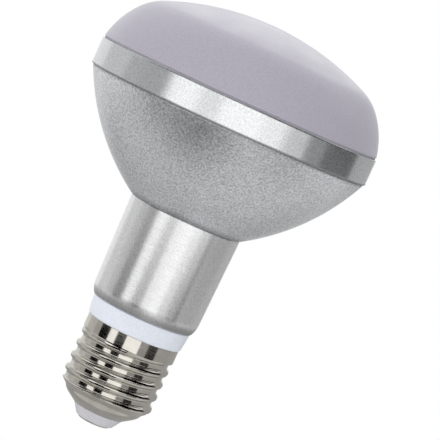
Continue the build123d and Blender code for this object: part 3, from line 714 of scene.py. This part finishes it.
# The pieces that keep the frame's own meshes: the collar, and all that sits inside the bulb
white_plastic = moulded_plastic(
    "collar_plastic", (0.82, 0.85, 0.92), roughness=0.38, grain=0.45, mottle=0.08
)
screw_steel = cut_metal("screw_steel", (0.52, 0.52, 0.53), low=0.25, high=0.4)
plate = cut_metal("plain_aluminium", (0.62, 0.62, 0.63), low=0.32, high=0.48)
copper = wound_copper()
ferrite = pressed_powder()
sleeve = moulded_plastic("can_sleeve", (0.02, 0.025, 0.07), roughness=0.3, grain=0.3, mottle=0.15)
chip = moulded_plastic("chip_black", (0.015, 0.015, 0.017), roughness=0.55, grain=0.2, mottle=0.25)
white_wire = moulded_plastic("white_wire", (0.72, 0.72, 0.69), roughness=0.5, grain=0.3, mottle=0.06)
kept_nodes = {
    "base_body": white_plastic,
    "neck_screws": screw_steel,
    "board_screws": screw_steel,
    "heat_spreader": plate,
    "thermal_pad": moulded_plastic(
        "thermal_pad", (0.30, 0.34, 0.42), roughness=0.8, grain=0.3, mottle=0.12
    ),
    "led_board": printed_board("white_board", (0.76, 0.76, 0.73)),
    "led_chips": phosphor(),
    "lead_connector": moulded_plastic(
        "white_nylon", (0.72, 0.70, 0.64), roughness=0.45, grain=0.3, mottle=0.06
    ),
    "driver_board": printed_board("green_board", (0.02, 0.14, 0.05)),
    "transformer_core": ferrite,
    "transformer_bobbin": moulded_plastic(
        "black_nylon", (0.02, 0.02, 0.022), roughness=0.5, grain=0.25, mottle=0.2
    ),
    "transformer_winding": copper,
    "choke_core": ferrite,
    "choke_winding": copper,
    "bulk_capacitor": sleeve,
    "output_capacitor": sleeve,
    "filter_capacitor": moulded_plastic(
        "film_block", (0.50, 0.36, 0.06), roughness=0.4, grain=0.35, mottle=0.1
    ),
    "bridge_rectifier": chip,
    "controller_chip": chip,
    "output_diode": chip,
    "fuse_resistor": moulded_plastic(
        "resistor_body", (0.08, 0.18, 0.12), roughness=0.35, grain=0.3, mottle=0.12
    ),
    "live_lead": white_wire,
    "neutral_lead": white_wire,
    "positive_lead": moulded_plastic(
        "red_wire", (0.45, 0.02, 0.015), roughness=0.45, grain=0.3, mottle=0.1
    ),
    "negative_lead": moulded_plastic(
        "black_wire", (0.015, 0.015, 0.015), roughness=0.45, grain=0.3, mottle=0.2
    ),
}
for node, material in kept_nodes.items():
    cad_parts[node].material_slots[0].material = material


# Studio: a white room, cards of white, grey and black for the metal to mirror, a soft light behind
def plain_light(name, shade):
    """A surface that glows in one even shade of grey and isn't sampled as a lamp."""
    material = bpy.data.materials.new(name)
    material.use_nodes = True
    tree = material.node_tree
    tree.nodes.remove(tree.nodes["Principled BSDF"])
    glow = Wiring(tree).add("ShaderNodeEmission", {"Color": (shade, shade, shade, 1)})
    tree.links.new(glow, tree.nodes["Material Output"].inputs["Surface"])
    material.cycles.emission_sampling = "NONE"
    return material


card_centre = Vector((0, 0, 0.06))
room_reach = 1.5
front_reach = 1.3
high_reach = 1.2
table_reach = 0.3
near_reach = 0.16


def studio_card(name, azimuths, elevations, shade, distance=room_reach, steps=12):
    """A card bent round the bulb between two azimuths and two elevations, in degrees.
    Azimuth 0 is on the camera's side and grows to its right. A nearer card hides a farther one. No camera
    sees a card, and it casts no shadow."""
    mesh = bpy.data.meshes.new(name)
    build = bmesh.new()
    lattice = []
    for row in range(steps + 1):
        elevation = radians(elevations[0] + (elevations[1] - elevations[0]) * row / steps)
        line = []
        for column in range(steps + 1):
            azimuth = radians(azimuths[0] + (azimuths[1] - azimuths[0]) * column / steps)
            way = Vector((sin(azimuth) * cos(elevation), -cos(azimuth) * cos(elevation), sin(elevation)))
            line.append(build.verts.new(card_centre + way * distance))
        lattice.append(line)
    for row in range(steps):
        for column in range(steps):
            here, there = lattice[row], lattice[row + 1]
            build.faces.new((here[column], here[column + 1], there[column + 1], there[column]))
    build.to_mesh(mesh)
    build.free()
    mesh.materials.append(plain_light(name, shade))
    card = bpy.data.objects.new(name, mesh)
    scene.collection.objects.link(card)
    card.visible_camera = False
    card.visible_shadow = False
    return card


def unlit_card(*card, **settings):
    """A card that shows in gloss alone and takes no light away."""
    studio_card(*card, **settings).visible_diffuse = False


# the sides of the room, the ceiling, and the dark things high up that only the thread mirrors
unlit_card("front_white_card", (-9, 42), (-20, 12), shade=1.3, distance=front_reach)
unlit_card("left_white_card", (-50, -27), (-20, 12), shade=1.25, distance=front_reach)
unlit_card("left_grey_card", (-97, -54), (-20, 35), shade=0.46)
unlit_card("far_left_grey_card", (-130, -97), (-20, 35), shade=0.6)
unlit_card("back_left_grey_card", (-165, -130), (-20, 35), shade=0.8)
studio_card("right_grey_card", (63, 165), (-20, 35), shade=0.42)
studio_card("right_black_card", (80, 118), (-3, 30), shade=0.03, distance=front_reach)
unlit_card("ceiling_card", (-90, 90), (14, 89), shade=0.24, distance=1.4)
unlit_card("left_high_card", (-80, -50), (10, 60), shade=0.04, distance=high_reach)
unlit_card("right_high_card", (24, 100), (8, 75), shade=0.0, distance=high_reach)
unlit_card("right_middle_card", (46, 84), (3, 8), shade=0.05, distance=high_reach)

# the table under the bulb that gloss alone sees, and the dark things on it that the bell and the cap mirror
unlit_card("table_card", (-180, 180), (-89, -20), shade=0.6, distance=table_reach, steps=48)
unlit_card("back_table_card", (120, 240), (-80, -20), shade=0.4, distance=0.28)
unlit_card("low_black_card", (-53, 8), (-58, -26), shade=0.0, distance=0.285)
unlit_card("left_slim_card", (-75, -50), (-33, -17.5), shade=0.0, distance=near_reach)
unlit_card("front_slim_card", (-31, -9), (-37, -17.8), shade=0.0, distance=near_reach)
unlit_card("front_grey_card", (26, 46), (-33, -17), shade=0.33, distance=near_reach)
unlit_card("right_slim_card", (46, 70), (-33, -17), shade=0.03, distance=near_reach)

floor_height = -0.30
floor_reach = 0.45


def pale_floor():
    """A pale round floor well below the bulb, whose edge fades into the white room."""
    mesh = bpy.data.meshes.new("pale_floor")
    build = bmesh.new()
    bmesh.ops.create_circle(build, cap_ends=True, segments=96, radius=floor_reach)
    build.to_mesh(mesh)
    build.free()
    mesh.transform(Matrix.Translation((0, 0, floor_height)))
    finish = Finish("pale_floor", (0.9, 0.9, 0.9), 0.8)
    finish.shade(finish.spread(finish.speckle(20.0), 0.98, 1.02))
    distance = finish.add("ShaderNodeVectorMath", {0: finish.place, 1: (1, 1, 0)}, operation="MULTIPLY")
    distance = finish.add("ShaderNodeVectorMath", {0: distance}, output="Value", operation="LENGTH")
    fade = finish.add(
        "ShaderNodeMapRange",
        {"Value": distance, "From Min": 0.45 * floor_reach, "From Max": 0.98 * floor_reach},
        interpolation_type="SMOOTHSTEP",
    )
    white = finish.add("ShaderNodeEmission", {"Color": (1, 1, 1, 1), "Strength": 1.0})
    mixed = finish.add("ShaderNodeMixShader", {0: fade, 1: finish.shader.outputs[0], 2: white})
    finish.feed(finish.tree.nodes["Material Output"].inputs["Surface"], mixed)
    finish.material.cycles.emission_sampling = "NONE"
    mesh.materials.append(finish.material)
    floor = bpy.data.objects.new("pale_floor", mesh)
    scene.collection.objects.link(floor)


pale_floor()


def white_room(light_level):
    """White wherever the camera, gloss or clear material looks, and even soft light for the rest."""
    world = bpy.data.worlds.new("white_room")
    world.use_nodes = True
    wires = Wiring(world.node_tree)
    seen = wires.add("ShaderNodeLightPath").node.outputs
    looks = wires.math("MAXIMUM", seen["Is Camera Ray"], seen["Is Glossy Ray"])
    looks = wires.math("MAXIMUM", looks, seen["Is Transmission Ray"])
    white = wires.add("ShaderNodeBackground", {"Color": (1, 1, 1, 1), "Strength": 1.0})
    soft = wires.add("ShaderNodeBackground", {"Color": (0.97, 0.98, 1, 1), "Strength": light_level})
    mixed = wires.add("ShaderNodeMixShader", {0: looks, 1: soft, 2: white})
    wires.feed(world.node_tree.nodes["World Output"].inputs["Surface"], mixed)
    scene.world = world


white_room(1.0)


def soft_light(name, place, width, power):
    """A square soft light that faces the bulb."""
    data = bpy.data.lights.new(name, "AREA")
    data.size = width
    data.energy = power
    light = bpy.data.objects.new(name, data)
    light.location = place
    light.rotation_euler = (card_centre - Vector(place)).to_track_quat("-Z", "Y").to_euler()
    scene.collection.objects.link(light)


soft_light("rear_lamp", (0, 0.97, 0.82), width=0.7, power=1.8)

# Camera: as high as the dome, looking slightly down, and rolled so that the bulb leans to the right
camera_place = Vector((0.0086, -0.6, 0.11))
camera_target = Vector((0.0086, 0, 0.064))
camera_roll = radians(24.5)
camera_lens = 183.6


def photo_camera():
    """The camera of the photo, with its roll in its rotation."""
    forward = (camera_target - camera_place).normalized()
    level_right = forward.cross(Vector((0, 0, 1))).normalized()
    level_up = level_right.cross(forward)
    right = level_right * cos(camera_roll) + level_up * sin(camera_roll)
    up = level_up * cos(camera_roll) - level_right * sin(camera_roll)
    data = bpy.data.cameras.new("photo_camera")
    data.lens = camera_lens
    data.clip_start = 0.01
    camera = bpy.data.objects.new("photo_camera", data)
    turn = Matrix((right, up, -forward)).transposed().to_4x4()
    camera.matrix_world = Matrix.Translation(camera_place) @ turn
    scene.collection.objects.link(camera)
    scene.camera = camera


photo_camera()
scene.view_settings.view_transform = "Standard"
